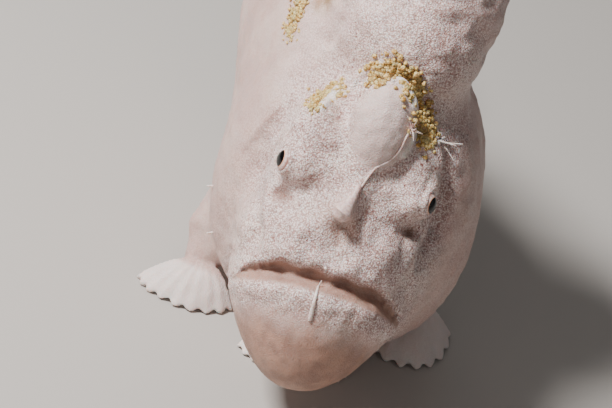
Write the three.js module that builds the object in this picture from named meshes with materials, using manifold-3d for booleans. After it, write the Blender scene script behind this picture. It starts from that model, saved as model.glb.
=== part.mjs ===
// A frogfish, life size, as a still model: it props itself on its hand-like pectoral and pelvic fins with its
// belly on the ground, nose a little down, and its tail swings to its right.
// Millimetres, +Z up. The fish faces -Y, its right side is at -X, and it stands on z = 0.
// The soft body is one smooth field of blended lumps, turned into a closed surface and parted with thin cuts.
// Every fin is a sheet with a raised ray for each real one, rooted just off the body's surface.
import * as THREE from "three";
import Module from "manifold-3d";

const wasm = await Module();
wasm.setup();
const { Manifold, Mesh: SolidMesh } = wasm;

// Driving dimensions.
const GAP = 0.3; // between two nodes that touch
const FACE = { origin: [0, 17, 48], tilt: 55 }; // the face's plane leans back over the body by this many degrees
const EYE = { centre: [10.6, 18.4, 46.8], radius: 2.5, gaze: [0.95, -0.22, 0.2], lid: 3.5, sunk: 0.9 };
const BEND = { from: 30, radius: 72, turn: 25 }; // the trunk's swing to the fish's right, as an arc
const NECK = { y: 34, z: 36, tilt: 10 }; // the cut between head and trunk
const TAIL_ROOT = 73; // where along the body the tail is cut off
const LEAN = 1.4; // how far the limbs' middle lies to the left of the head's
const PLATE = 1.4; // half the thickness at a fin's root
const RAY = 0.5; // half the thickness of a fin on a ray
const WEB = 0.27; // half the thickness of a fin between two rays
const MOUTH = { halfWidth: 14.4, upper: -15.5, lower: -18.8, depth: 1.8 }; // heights on the face

// Grid lines for the surfaces of the head and of the rest: [from, to, step] along each axis.
const HEAD_GRID = {
  x: [[-28, -14, 2.4], [-14, 14, 1.6], [14, 28, 2.4]],
  y: [[-3, 17, 1.6], [17, 46, 2.8]],
  z: [[-4, 18, 2.8], [18, 50, 1.6], [50, 84, 2.8]],
};
const TRUNK_GRID = {
  x: [[-42, -12, 2.8], [-12, 12, 4.0], [12, 32, 2.8]],
  y: [[18, 104, 3.4]],
  z: [[-7, 18, 2.6], [18, 88, 3.6]],
};
const HEAD_END = 44; // the head's surface is made as far back as this, and the trunk's from TRUNK_START
const TRUNK_START = 22;

const rad = THREE.MathUtils.degToRad;
const lerp = THREE.MathUtils.lerp;
const clamp = THREE.MathUtils.clamp;
const smooth = THREE.MathUtils.smoothstep;

// A point given by the face's own directions: across the head, up the face, and out of it.
const FACE_COS = Math.cos(rad(FACE.tilt));
const FACE_SIN = Math.sin(rad(FACE.tilt));
function face(across, up, out) {
  const [x, y, z] = FACE.origin;
  return [x + across, y + up * FACE_COS - out * FACE_SIN, z + up * FACE_SIN + out * FACE_COS];
}

// The body is shaped straight and then bent sideways: one way for points, the other way for its field.
function bent([x, y, z]) {
  const turn = clamp((y - BEND.from) / BEND.radius, 0, rad(BEND.turn));
  const beyond = y - BEND.from - BEND.radius * turn;
  const c = Math.cos(turn);
  const s = Math.sin(turn);
  const arm = x + BEND.radius;
  return [arm * c - beyond * s - BEND.radius, BEND.from + arm * s + beyond * c, z];
}
function straightened(x, y) {
  const arm = x + BEND.radius;
  const turn = clamp(Math.atan2(y - BEND.from, arm), 0, rad(BEND.turn));
  const c = Math.cos(turn);
  const s = Math.sin(turn);
  const along = y - BEND.from;
  return [arm * c + along * s - BEND.radius, BEND.from + along * c - arm * s + BEND.radius * turn];
}

// Fields: functions of a point that are below zero inside, and grow by about 1 for each millimetre outwards.

// An ellipsoid. tilt lifts its second axis from +Y, in degrees.
function lump(centre, radii, tilt = 0) {
  const c = Math.cos(rad(tilt));
  const s = Math.sin(rad(tilt));
  return (x, y, z) => {
    const py = y - centre[1];
    const pz = z - centre[2];
    const a = (x - centre[0]) / radii[0];
    const b = (c * py + s * pz) / radii[1];
    const e = (c * pz - s * py) / radii[2];
    const near = Math.hypot(a, b, e);
    const slope = Math.hypot(a / radii[0], b / radii[1], e / radii[2]);
    return slope < 1e-6 ? -Math.min(...radii) : (near * (near - 1)) / slope;
  };
}

// A round bar along a line of points, with a radius at each point.
function bar(points, radii) {
  return (x, y, z) => {
    let best = Infinity;
    for (let i = 1; i < points.length; i++) {
      const [ax, ay, az] = points[i - 1];
      const [bx, by, bz] = points[i];
      const dx = bx - ax;
      const dy = by - ay;
      const dz = bz - az;
      const along = ((x - ax) * dx + (y - ay) * dy + (z - az) * dz) / (dx * dx + dy * dy + dz * dz);
      const t = clamp(along, 0, 1);
      const away = Math.hypot(x - ax - dx * t, y - ay - dy * t, z - az - dz * t);
      best = Math.min(best, away - lerp(radii[i - 1], radii[i], t));
    }
    return best;
  };
}

// The same form on both sides of the fish, or of a plane that far to its left.
const bothSides = (field, middle = 0) => (x, y, z) => field(Math.abs(x - middle), y, z);

// Joins two field values with a fillet of about k.
function join(a, b, k) {
  const h = Math.max(k - Math.abs(a - b), 0) / k;
  return Math.min(a, b) - (h * h * k) / 4;
}

// The body's main masses, each with the fillet that joins it to those before it.
const MASSES = [
  [lump([2.9, 46, 32], [22.6, 31, 27], 6), 1], // trunk
  [lump([3.2, 42, 21.5], [22.4, 22, 21.8]), 6], // belly
  [lump([1.5, 52, 17], [13, 15, 17.5]), 6], // seat, on which the belly rests
  [lump([1.0, 58, 47], [15.5, 22, 22]), 6], // back
  [lump([1.0, 71, 43.5], [13.5, 20, 20], 14), 9], // rear of the trunk
  [lump([0, 85, 49], [5.2, 15, 8.6], 10), 8], // tail stalk
  [lump(face(0, -2, -11), [13.2, 18, 12.2], FACE.tilt), 4], // face
  [lump(face(0, -11, -14), [16.6, 10, 14], FACE.tilt), 5], // upper jaw
  [lump(face(0, -19.5, -12.5), [14.6, 7, 12.6], FACE.tilt), 4], // lower jaw
  [lump(face(0, -25.5, -9.8), [7.5, 9.6, 8.6], FACE.tilt), 8], // chin
  [lump([0, 19, 20], [11, 13, 12]), 8], // throat
];
const BROW = bothSides(lump(face(8.6, 4.4, -2.9), [4.0, 6.4, 3.3], FACE.tilt));
const LIDS = bothSides(lump(EYE.centre.map((n, i) => n - EYE.sunk * EYE.gaze[i]), [EYE.lid, EYE.lid, EYE.lid]));
const KNOB = bar([face(0.9, 3, -0.6), face(0.1, -1.5, 0.6), face(-0.7, -5.2, 1.6)], [1.7, 1.5, 1.7]);
const THIRD_SPINE = bar([[3.8, 43, 62.5], [4.6, 47, 67], [4.6, 52, 70]], [13.2, 14.2, 11.5]);
const SECOND_SPINE = lump(face(1.2, 9.8, 0.4), [5.0, 7.6, 4.6], FACE.tilt + 8);
const ARMS = bothSides(bar([[13, 55, 15], [17.5, 51, 9.5], [19, 46.5, 5]], [5.5, 4.6, 3.2]), LEAN);
const PELVIC_STUMPS = bothSides(bar([[4.5, 35, 8], [5.4, 31.5, 4]], [3.6, 2.2]), LEAN);

// The relief of the face, by place on it: how far the skin stands out.
const hill = (across, up, u, v, wide, high) => Math.exp(-(((across - u) / wide) ** 2) - ((up - v) / high) ** 2);
function faceRelief(x, y, z) {
  const u = Math.abs(x);
  const v = (y - FACE.origin[1]) * FACE_COS + (z - FACE.origin[2]) * FACE_SIN;
  const share = Math.min(u / MOUTH.halfWidth, 1.3);
  const under = MOUTH.upper - 5.4 * share ** 4.5 - v; // below the edge of the upper lip
  const over = v - (MOUTH.lower - 2.4 * share ** 2.5); // above the crest of the lower lip
  let h = 1.5 * hill(u, v, 7.2, -11.8, 4.0, 3.6); // snout lobes
  h += 0.9 * hill(u, v, 0, -14.2, 3.0, 1.8); // pad over the middle of the mouth
  h += 0.5 * hill(u, under, 0, -0.9, 13, 0.9); // upper lip
  h += 0.8 * hill(u, over, 0, -1.4, 12, 1.7); // lower lip
  h -= 1.1 * hill(u, v, 0, -8.8, 1.5, 1.9); // groove under the knob
  h -= 1.5 * hill(u, v, 10.7, -5.6, 1.5, 1.3); // hind nostril
  h -= 1.4 * hill(u, v, 15.4, -1, 2.2, 8); // hollow behind the eye
  h -= MOUTH.depth * smooth(under, 0, 0.9) * smooth(over, -0.3, 2.2);
  return h;
}

// The whole body without fins, eyes and lure, as one skin.
function skinField(x, y, z) {
  const [sx, sy] = straightened(x, y);
  let d = MASSES[0][0](sx, sy, z);
  for (const [mass, k] of MASSES.slice(1)) d = join(d, mass(sx, sy, z), k);
  d = join(d, THIRD_SPINE(sx, sy, z), 5);
  if (z < 34) {
    d = join(d, ARMS(sx, sy, z), 5);
    d = join(d, PELVIC_STUMPS(sx, sy, z), 3);
  }
  if (y < 34) {
    d = join(d, BROW(x, y, z), 3);
    d -= faceRelief(x, y, z);
    d = join(d, KNOB(x, y, z), 1.5);
    d = join(d, LIDS(x, y, z), 2.2);
    d = join(d, SECOND_SPINE(x, y, z), 2.0);
  }
  return d;
}

// Surfaces and solids.

const gridLines = (spans) => {
  const lines = [];
  for (const [from, to, step] of spans) {
    const count = Math.round((to - from) / step);
    for (let i = lines.length ? 1 : 0; i <= count; i++) lines.push(lerp(from, to, i / count));
  }
  return lines;
};

// The closed surface where a field is zero: one vertex in each grid cell that it crosses, then pulled onto it
// as far as that keeps it inside its cell.
const CELL_RIM = 0.04;
function surfaceOf(field, xs, ys, zs) {
  const nx = xs.length;
  const ny = ys.length;
  const nz = zs.length;
  const at = (i, j, k) => (k * ny + j) * nx + i;
  const value = new Float32Array(nx * ny * nz);
  for (let k = 0; k < nz; k++)
    for (let j = 0; j < ny; j++) for (let i = 0; i < nx; i++) value[at(i, j, k)] = field(xs[i], ys[j], zs[k]) || 1e-6;

  const vertexOf = new Map();
  const vertices = [];
  const corners = [0, 1, 2, 3, 4, 5, 6, 7].map((n) => [n & 1, (n >> 1) & 1, n >> 2]);
  const edges = [];
  for (let a = 0; a < 8; a++) for (const bit of [1, 2, 4]) if (!(a & bit)) edges.push([a, a | bit]);
  for (let k = 0; k < nz - 1; k++)
    for (let j = 0; j < ny - 1; j++)
      for (let i = 0; i < nx - 1; i++) {
        const v = corners.map(([a, b, c]) => value[at(i + a, j + b, k + c)]);
        const inside = v.filter((n) => n < 0).length;
        if (inside === 0 || inside === 8) continue;
        const sum = [0, 0, 0];
        let crossings = 0;
        for (const [a, b] of edges) {
          if (v[a] < 0 === v[b] < 0) continue;
          const t = v[a] / (v[a] - v[b]);
          for (let n = 0; n < 3; n++) sum[n] += lerp(corners[a][n], corners[b][n], t);
          crossings++;
        }
        const cell = [xs[i + 1] - xs[i], ys[j + 1] - ys[j], zs[k + 1] - zs[k]];
        const start = [xs[i], ys[j], zs[k]].map((edge, n) => edge + (cell[n] * sum[n]) / crossings);
        const low = [xs[i], ys[j], zs[k]].map((edge, n) => edge + CELL_RIM * cell[n]);
        const high = [xs[i + 1], ys[j + 1], zs[k + 1]].map((edge, n) => edge - CELL_RIM * cell[n]);
        vertexOf.set(at(i, j, k), vertices.length);
        vertices.push(pulledOnto(field, start, Math.min(...cell) / 3).map((p, n) => clamp(p, low[n], high[n])));
      }

  const triangles = [];
  for (let k = 1; k < nz - 1; k++)
    for (let j = 1; j < ny - 1; j++)
      for (let i = 1; i < nx - 1; i++) {
        const here = value[at(i, j, k)] < 0;
        const around = [
          [at(i + 1, j, k), [at(i, j, k), at(i, j - 1, k), at(i, j - 1, k - 1), at(i, j, k - 1)]],
          [at(i, j + 1, k), [at(i, j, k), at(i, j, k - 1), at(i - 1, j, k - 1), at(i - 1, j, k)]],
          [at(i, j, k + 1), [at(i, j, k), at(i - 1, j, k), at(i - 1, j - 1, k), at(i, j - 1, k)]],
        ];
        for (const [other, cells] of around) {
          if (here === value[other] < 0) continue;
          const [a, b, c, d] = cells.map((index) => vertexOf.get(index));
          if (here) triangles.push(a, b, c, a, c, d);
          else triangles.push(a, c, b, a, d, c);
        }
      }
  return geometryOf(vertices, triangles);
}

// Moves a point near a field's surface onto it, along the field's slope.
function pulledOnto(field, point, reach, level = 0) {
  const e = 0.05;
  let [x, y, z] = point;
  for (let pass = 0; pass < 2; pass++) {
    const d = field(x, y, z);
    const slope = [field(x + e, y, z) - d, field(x, y + e, z) - d, field(x, y, z + e) - d].map((n) => n / e);
    const steep = Math.max(slope[0] ** 2 + slope[1] ** 2 + slope[2] ** 2, 0.25);
    const move = clamp((d - level) / steep, -reach, reach);
    x -= slope[0] * move;
    y -= slope[1] * move;
    z -= slope[2] * move;
  }
  return [x, y, z];
}

function geometryOf(vertices, triangles) {
  const geometry = new THREE.BufferGeometry();
  geometry.setAttribute("position", new THREE.Float32BufferAttribute(vertices.flat(), 3));
  geometry.setIndex(triangles);
  return geometry;
}

function solidOf(geometry) {
  const vertProperties = Float32Array.from(geometry.attributes.position.array);
  const triVerts = Uint32Array.from(geometry.index.array);
  return new Manifold(new SolidMesh({ numProp: 3, vertProperties, triVerts }));
}

// A solid's largest closed surface.
const largest = (solid) => solid.decompose().reduce((a, b) => (a.volume() > b.volume() ? a : b));

// A geometry of three whose corners are shared between its faces, as a solid needs them.
function welded(geometry) {
  const seen = new Map();
  const vertices = [];
  const position = geometry.attributes.position;
  const triangles = Array.from(geometry.index.array).map((i) => {
    const point = [position.getX(i), position.getY(i), position.getZ(i)];
    const key = point.map((n) => Math.round(n * 1e4)).join();
    if (!seen.has(key)) {
      seen.set(key, vertices.length);
      vertices.push(point);
    }
    return seen.get(key);
  });
  const kept = [];
  for (let i = 0; i < triangles.length; i += 3) {
    const [a, b, c] = triangles.slice(i, i + 3);
    if (a !== b && b !== c && a !== c) kept.push(a, b, c);
  }
  return geometryOf(vertices, kept);
}

const BLOCK = 300; // side of the blocks that stand for half of space

// The half of space behind a plane through a point of the bent body, square to the body there.
function behind(along, z, tilt, shift) {
  const block = new THREE.BoxGeometry(BLOCK, BLOCK, BLOCK).translate(0, BLOCK / 2 + shift, 0).rotateX(rad(tilt));
  const turn = clamp((along - BEND.from) / BEND.radius, 0, rad(BEND.turn));
  const [x, y] = bent([0, along, z]);
  return solidOf(welded(block.rotateZ(turn).translate(x, y, z)));
}

// A ball stretched to three radii, as a solid.
function ellipsoid(centre, radii, tilt, grow) {
  const ball = new THREE.SphereGeometry(1, 18, 12).rotateX(Math.PI / 2).scale(...radii.map((r) => r + grow));
  return solidOf(welded(ball.rotateX(rad(tilt)).translate(...centre)));
}

// Fins.

// A point at a share t of the way along a line of points.
function alongLine(points, t) {
  const place = clamp(t, 0, 1) * (points.length - 1);
  const i = Math.min(Math.floor(place), points.length - 2);
  return points[i].map((n, axis) => lerp(n, points[i + 1][axis], place - i));
}

// A fin from the lines of its rays: raised along each ray, thin between them, its edge notched between two rays.
function finSolid(rays, rows, notch) {
  const columns = [];
  for (let i = 0; i < rays.length; i++) {
    columns.push({ line: rays[i], reach: 1, half: RAY });
    if (i === rays.length - 1) break;
    const between = rays[i].map((point, k) => point.map((n, axis) => (n + rays[i + 1][k][axis]) / 2));
    columns.push({ line: between, reach: 1 - notch, half: WEB });
  }
  const middle = columns.map(({ line, reach }) => {
    const points = [];
    for (let r = 0; r <= rows; r++) points.push(new THREE.Vector3(...alongLine(line, (reach * r) / rows)));
    return points;
  });
  const last = columns.length - 1;
  const front = [];
  const back = [];
  for (let c = 0; c <= last; c++)
    for (let r = 0; r <= rows; r++) {
      const across = middle[Math.min(c + 1, last)][r].clone().sub(middle[Math.max(c - 1, 0)][r]);
      const outwards = middle[c][Math.min(r + 1, rows)].clone().sub(middle[c][Math.max(r - 1, 0)]);
      const normal = across.cross(outwards).normalize();
      const share = r / rows;
      const half = lerp(PLATE, columns[c].half, smooth(share, 0, 0.35)) * lerp(1, 0.8, smooth(share, 0.7, 1));
      front.push(middle[c][r].clone().addScaledVector(normal, half).toArray());
      back.push(middle[c][r].clone().addScaledVector(normal, -half).toArray());
    }
  const at = (c, r) => c * (rows + 1) + r;
  const under = front.length;
  const triangles = [];
  for (let c = 0; c < last; c++)
    for (let r = 0; r < rows; r++) {
      const [p, q, s, t] = [at(c, r), at(c + 1, r), at(c + 1, r + 1), at(c, r + 1)];
      if (c % 2) triangles.push(p, q, s, p, s, t, p + under, s + under, q + under, p + under, t + under, s + under);
      else triangles.push(p, q, t, q, s, t, p + under, t + under, q + under, q + under, t + under, s + under);
    }
  const rim = [];
  for (let c = 0; c < last; c++) rim.push([at(c + 1, 0), at(c, 0)], [at(c, rows), at(c + 1, rows)]);
  for (let r = 0; r < rows; r++) rim.push([at(0, r), at(0, r + 1)], [at(last, r + 1), at(last, r)]);
  for (const [p, q] of rim) triangles.push(p, q, q + under, p, q + under, p + under);
  return solidOf(geometryOf([...front, ...back], triangles));
}

// The height of the back or of the underside at a place along the body.
function heightAt(along, from, step) {
  for (let z = from; ; z += step) if (skinField(...bent([0, along, z])) < 0) return z;
}

const DORSAL = { rays: 12, from: 61, to: 87, sunk: 2, high: 11, lean: 38 };
function dorsalRays() {
  const rays = [];
  for (let i = 0; i < DORSAL.rays; i++) {
    const share = i / (DORSAL.rays - 1);
    const along = lerp(DORSAL.from, DORSAL.to, share);
    const root = heightAt(along, 90, -0.25) - DORSAL.sunk;
    const long = DORSAL.sunk + DORSAL.high * (0.62 + 0.38 * Math.sin(Math.PI * (0.1 + 0.75 * share)));
    const lean = rad(lerp(DORSAL.lean - 8, DORSAL.lean + 18, share));
    const sway = 0.7 * Math.sin(i * 0.9);
    const at = (t) => bent([sway * t * t, along + long * t * Math.sin(lean), root + long * t * Math.cos(lean)]);
    rays.push([0, 0.33, 0.67, 1].map(at));
  }
  return rays;
}

const ANAL = { rays: 7, from: 76, to: 90, sunk: 2, high: 9, lean: 35 };
function analRays() {
  const rays = [];
  for (let i = 0; i < ANAL.rays; i++) {
    const share = i / (ANAL.rays - 1);
    const along = lerp(ANAL.from, ANAL.to, share);
    const root = heightAt(along, 0, 0.25) + ANAL.sunk;
    const long = ANAL.sunk + ANAL.high * (0.6 + 0.4 * Math.sin(Math.PI * (0.15 + 0.7 * share)));
    const lean = rad(lerp(ANAL.lean, ANAL.lean + 22, share));
    const sway = 0.5 * Math.sin(i * 1.1);
    const at = (t) => bent([sway * t * t, along + long * t * Math.sin(lean), root - long * t * Math.cos(lean)]);
    rays.push([0, 0.33, 0.67, 1].map(at));
  }
  return rays;
}

const CAUDAL = { rays: 9, along: 95, z: 51.5, spread: 5.4, long: 27, rise: 10, fan: 26 };
function caudalRays() {
  const rays = [];
  for (let i = 0; i < CAUDAL.rays; i++) {
    const side = lerp(-1, 1, i / (CAUDAL.rays - 1));
    const heading = rad(CAUDAL.rise + CAUDAL.fan * side);
    const long = CAUDAL.long * (1 - 0.13 * side * side);
    const at = (t) => {
      const along = CAUDAL.along + long * t * Math.cos(heading);
      const z = CAUDAL.z + CAUDAL.spread * side + long * Math.sin(heading) * (t + 0.1 * t * t);
      return bent([-2.2 * t * t + 0.5 * t * Math.sin(i * 1.3), along, z]);
    };
    rays.push([0, 0.2, 0.4, 0.6, 0.8, 1].map(at));
  }
  return rays;
}

// A hand-like fin on the ground: its rays fan out from the wrist, arch a little and come down at their tips.
function handRays({ rays, wrist, inner, outer, long, arch }, side) {
  const lines = [];
  for (let i = 0; i < rays; i++) {
    const share = i / (rays - 1);
    const heading = rad(lerp(inner, outer, share));
    const reach = long * (0.86 + 0.14 * Math.sin(Math.PI * share));
    const at = (t) => {
      const x = wrist[0] + reach * t * Math.sin(heading);
      const y = wrist[1] - reach * t * Math.cos(heading);
      const z = lerp(wrist[2], 0.1, t * t) + arch * Math.sin(Math.PI * t);
      return bent([LEAN + side * x, y, z]);
    };
    lines.push([0, 0.2, 0.4, 0.6, 0.8, 1].map(at));
  }
  return side > 0 ? lines : lines.reverse();
}
const PECTORAL = { rays: 9, wrist: [19, 46, 4.8], inner: -38, outer: 72, long: 13, arch: 0.8 };
const PELVIC = { rays: 5, wrist: [5.2, 32, 3.8], inner: -22, outer: 44, long: 8.2, arch: 0.3 };

// The lure's rod, folded back beside the second spine, and the tuft at its end.
const ROD = { half: 0.42, off: 0.85, sides: 6 };
const ROD_PATH = [[0.6, -3.2], [1.4, -0.6], [3.0, 1.0], [5.2, 2.6], [7.0, 5.2], [7.8, 8.2], [9.0, 10.4]];
function rodSolid(points, halves) {
  const curve = new THREE.CatmullRomCurve3(points.map((p) => new THREE.Vector3(...p)));
  const steps = points.length * 3;
  const frames = curve.computeFrenetFrames(steps);
  const vertices = [];
  for (let i = 0; i <= steps; i++) {
    const centre = curve.getPoint(i / steps);
    const half = alongLine(halves.map((h) => [h]), i / steps)[0];
    for (let k = 0; k < ROD.sides; k++) {
      const a = (2 * Math.PI * k) / ROD.sides;
      const p = centre.clone().addScaledVector(frames.normals[i], half * Math.cos(a));
      vertices.push(p.addScaledVector(frames.binormals[i], half * Math.sin(a)).toArray());
    }
  }
  const triangles = [];
  const at = (i, k) => i * ROD.sides + (k % ROD.sides);
  for (let i = 0; i < steps; i++)
    for (let k = 0; k < ROD.sides; k++) {
      triangles.push(at(i, k), at(i, k + 1), at(i + 1, k + 1), at(i, k), at(i + 1, k + 1), at(i + 1, k));
    }
  for (let k = 2; k < ROD.sides; k++) {
    triangles.push(at(0, 0), at(0, k), at(0, k - 1), at(steps, 0), at(steps, k - 1), at(steps, k));
  }
  return solidOf(geometryOf(vertices, triangles));
}

// The nodes.

// The head's or the trunk's skin as a solid, grown outwards by grow and shut off inside the body.
function skinSolid(grid, shut, grow) {
  const field = (x, y, z) => Math.max(skinField(x, y, z) - grow, shut(y));
  return solidOf(surfaceOf(field, gridLines(grid.x), gridLines(grid.y), gridLines(grid.z)));
}
const headSkin = (grow) => skinSolid(HEAD_GRID, (y) => y - HEAD_END, grow);
const trunkSkin = (grow) => skinSolid(TRUNK_GRID, (y) => TRUNK_START - y, grow);
const ground = solidOf(welded(new THREE.BoxGeometry(BLOCK, BLOCK, BLOCK).translate(0, 0, -BLOCK / 2)));

const HALF_GAP = GAP / 2;
const eyeBall = (side, grow) => {
  const radii = [EYE.radius, EYE.radius, EYE.radius];
  return ellipsoid([side * EYE.centre[0], EYE.centre[1], EYE.centre[2]], radii, 0, grow);
};
const secondSpine = (grow) => ellipsoid(face(1.2, 9.9, 3.2), [6.2, 8.9, 5.4], FACE.tilt + 8, grow);
const thirdSpine = (grow) => ellipsoid(bent([2.8, 50, 75]), [16, 18, 13.5], -12, grow);
const arm = (side, grow) => ellipsoid(bent([LEAN + side * 25, 48.5, 6]), [9.5, 12, 9], -14, grow);
const neck = (shift) => behind(NECK.y, NECK.z, NECK.tilt, shift);
const tailRoot = (shift) => behind(TAIL_ROOT, 46, 10, shift);

const solids = {};
const head = headSkin(0).subtract(ground);
const trunk = trunkSkin(0).subtract(ground);
solids.dorsal_spine_2 = largest(head.intersect(secondSpine(-HALF_GAP)));
solids.dorsal_spine_3 = largest(trunk.intersect(thirdSpine(-HALF_GAP)));
solids.pectoral_arm_left = largest(trunk.intersect(arm(1, -HALF_GAP)));
solids.pectoral_arm_right = largest(trunk.intersect(arm(-1, -HALF_GAP)));
const cutters = [thirdSpine(HALF_GAP), arm(1, HALF_GAP), arm(-1, HALF_GAP)];
const cutAll = (solid, list) => list.reduce((left, cutter) => left.subtract(cutter), solid);
solids.head = largest(cutAll(head, [neck(-HALF_GAP), secondSpine(HALF_GAP), eyeBall(1, GAP), eyeBall(-1, GAP), ...cutters]));
const behindNeck = cutAll(trunk.intersect(neck(HALF_GAP)), cutters);
solids.torso = largest(behindNeck.subtract(tailRoot(-HALF_GAP)));
solids.tail = largest(behindNeck.intersect(tailRoot(HALF_GAP)));
solids.eye_left = eyeBall(1, 0);
solids.eye_right = eyeBall(-1, 0);

const fins = {
  dorsal_fin: finSolid(dorsalRays(), 4, 0.07),
  anal_fin: finSolid(analRays(), 4, 0.07),
  caudal_fin: finSolid(caudalRays(), 5, 0.05),
};
for (const [side, word] of [[1, "left"], [-1, "right"]]) {
  fins[`pectoral_fin_${word}`] = finSolid(handRays(PECTORAL, side), 5, 0.12);
  fins[`pelvic_fin_${word}`] = finSolid(handRays(PELVIC, side), 4, 0.14);
}
const clearances = [headSkin(GAP), trunkSkin(GAP), ground];
for (const [name, fin] of Object.entries(fins)) solids[name] = largest(cutAll(fin, clearances));

const rodPoints = ROD_PATH.map(([u, v]) => pulledOnto(skinField, face(u, v, 6), 12, ROD.off + ROD.half));
solids.illicium = rodSolid(rodPoints, [0.5, ROD.half, ROD.half, 0.34]);

const MATERIALS = {
  skin: new THREE.MeshStandardMaterial({ color: 0xe6cdc6, roughness: 0.6 }),
  fin: new THREE.MeshStandardMaterial({ color: 0xece2dc, roughness: 0.55 }),
  eye: new THREE.MeshStandardMaterial({ color: 0x120e0d, roughness: 0.15 }),
};
const part = new THREE.Group();
for (const [name, solid] of Object.entries(solids)) {
  const { vertProperties, triVerts } = solid.getMesh();
  const geometry = new THREE.BufferGeometry();
  geometry.setAttribute("position", new THREE.BufferAttribute(Float32Array.from(vertProperties), 3));
  geometry.setIndex(Array.from(triVerts));
  const material = name.startsWith("eye") ? MATERIALS.eye : name.includes("fin") ? MATERIALS.fin : MATERIALS.skin;
  const mesh = new THREE.Mesh(geometry, material);
  mesh.name = name;
  part.add(mesh);
}

// The origin goes to the ground under the middle of the whole fish.
const centre = new THREE.Box3().setFromObject(part).getCenter(new THREE.Vector3());
for (const mesh of part.children) {
  mesh.geometry.translate(-centre.x, -centre.y, 0);
  mesh.geometry.computeVertexNormals();
}

export default part;
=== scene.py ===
import math
import bmesh
import bpy
import numpy as np
from mathutils import Matrix, Vector, noise


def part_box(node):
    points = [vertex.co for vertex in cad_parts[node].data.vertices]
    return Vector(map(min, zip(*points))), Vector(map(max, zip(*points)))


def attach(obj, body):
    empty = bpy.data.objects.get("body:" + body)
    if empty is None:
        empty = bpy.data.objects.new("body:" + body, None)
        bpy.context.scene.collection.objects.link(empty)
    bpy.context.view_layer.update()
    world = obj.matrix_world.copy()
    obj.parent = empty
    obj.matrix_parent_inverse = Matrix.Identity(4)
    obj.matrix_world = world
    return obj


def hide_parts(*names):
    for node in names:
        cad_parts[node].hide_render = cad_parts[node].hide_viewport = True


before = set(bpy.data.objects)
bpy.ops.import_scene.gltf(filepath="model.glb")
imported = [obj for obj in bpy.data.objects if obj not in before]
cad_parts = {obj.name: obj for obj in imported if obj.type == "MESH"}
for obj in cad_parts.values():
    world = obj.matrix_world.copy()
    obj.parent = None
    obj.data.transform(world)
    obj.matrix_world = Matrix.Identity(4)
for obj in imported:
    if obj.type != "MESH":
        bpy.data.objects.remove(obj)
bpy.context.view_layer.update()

# All shaping is done in millimetres, in the axes of the fish: it faces -Y and stands on z = 0.
MM = 0.001

# The fish's left eye. The right eye mirrors it, but for its line of sight.
EYE = np.array([10.6, 18.4, 46.8])
EYE_RADIUS = 2.5
GAZE = np.array([0.95, -0.22, 0.2])
LEFT_GAZE = np.array([0.87, -0.42, 0.24])
EYE_OUT = 0.25

# The face is a leaning plane. Its measures run across it, up it and out of it.
FACE_ORIGIN = np.array([0.0, 17.0, 48.0])
FACE_TILT = 55.0
FACE_COS, FACE_SIN = math.cos(math.radians(FACE_TILT)), math.sin(math.radians(FACE_TILT))

# Behind BEND_FROM the body turns to the fish's right, round a circle.
BEND_FROM, BEND_RADIUS, BEND_TURN = 30.0, 72.0, math.radians(25)

# The mouth's half width, the heights of its upper and lower edge in the middle, its depth, and the share
# of the half width beyond which its edges fall no further.
MOUTH_HALF, MOUTH_UPPER, MOUTH_LOWER, MOUTH_DEPTH = 14.4, -15.5, -18.8, 1.8
MOUTH_END = 1.3

# The limbs are set about a plane that is this far to the fish's left.
LEAN = 1.4

# The limbs' roots are reckoned only below one height, and the forms of the face only in front of one place.
LIMBS_BELOW, FACE_BEFORE = 34, 34

# Half the thickness of a fin at a ray, between rays and at its root, and its steps between
# rays and along them.
RAY, WEB, PLATE = 0.46, 0.3, 1.5
FIN_COLUMNS, FIN_ROWS = 8, 22
DORSAL_FROM, DORSAL_LENGTH, DORSAL_RAYS = 61, 26, 12
ANAL_FROM, ANAL_LENGTH, ANAL_RAYS = 76, 14, 7
CAUDAL_FROM, CAUDAL_LENGTH, CAUDAL_RAYS = 95, 27, 9

# Each hand: its wrist, the headings of its inner and outer ray, its length and its arch.
HAND, HAND_RAYS = ((19, 46, 4.8), -38, 72, 13, 0.8), 9
PELVIC, PELVIC_RAYS = ((5.2, 32, 3.8), -22, 44, 8.2, 0.3), 5

# The cells of the first surface, and of the remeshed skin.
BODY_GRID = ((-40, 34), (-4, 106), (-3, 86))
BODY_STEP = 0.8
SKIN_VOXEL = 0.30

# The step over which the field's slope is taken, and the least squared slope that a pull reckons with.
SLOPE_STEP = 0.05
SLOPE_LEAST = 0.25


def eye_middle():
    """The middle between both eyes, in the row frame, in millimetres."""
    corners = [np.array(corner) for name in ("eye_left", "eye_right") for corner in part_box(name)]
    return sum(corners) / 4 / MM


OFFSET = eye_middle() - np.array([0.0, EYE[1], EYE[2]])


def face(across, up, out):
    """The place of a point that is given in the measures of the face."""
    x, y, z = FACE_ORIGIN
    return np.array([x + across, y + up * FACE_COS - out * FACE_SIN, z + up * FACE_SIN + out * FACE_COS])


def up_face(y, z):
    """How far up the face a place is."""
    return (y - FACE_ORIGIN[1]) * FACE_COS + (z - FACE_ORIGIN[2]) * FACE_SIN


def bent(x, y, z):
    """The place of a point of the straight fish in the bent one."""
    turn = np.clip((y - BEND_FROM) / BEND_RADIUS, 0, BEND_TURN)
    beyond = y - BEND_FROM - BEND_RADIUS * turn
    arm = x + BEND_RADIUS
    c, s = np.cos(turn), np.sin(turn)
    return np.stack([arm * c - beyond * s - BEND_RADIUS, BEND_FROM + arm * s + beyond * c, z + 0 * turn], -1)


def straightened(x, y):
    """The way back from the bent fish to the straight one."""
    arm = x + BEND_RADIUS
    along = y - BEND_FROM
    turn = np.clip(np.arctan2(along, arm), 0, BEND_TURN)
    c, s = np.cos(turn), np.sin(turn)
    return arm * c + along * s - BEND_RADIUS, BEND_FROM + along * c - arm * s + BEND_RADIUS * turn


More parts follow.
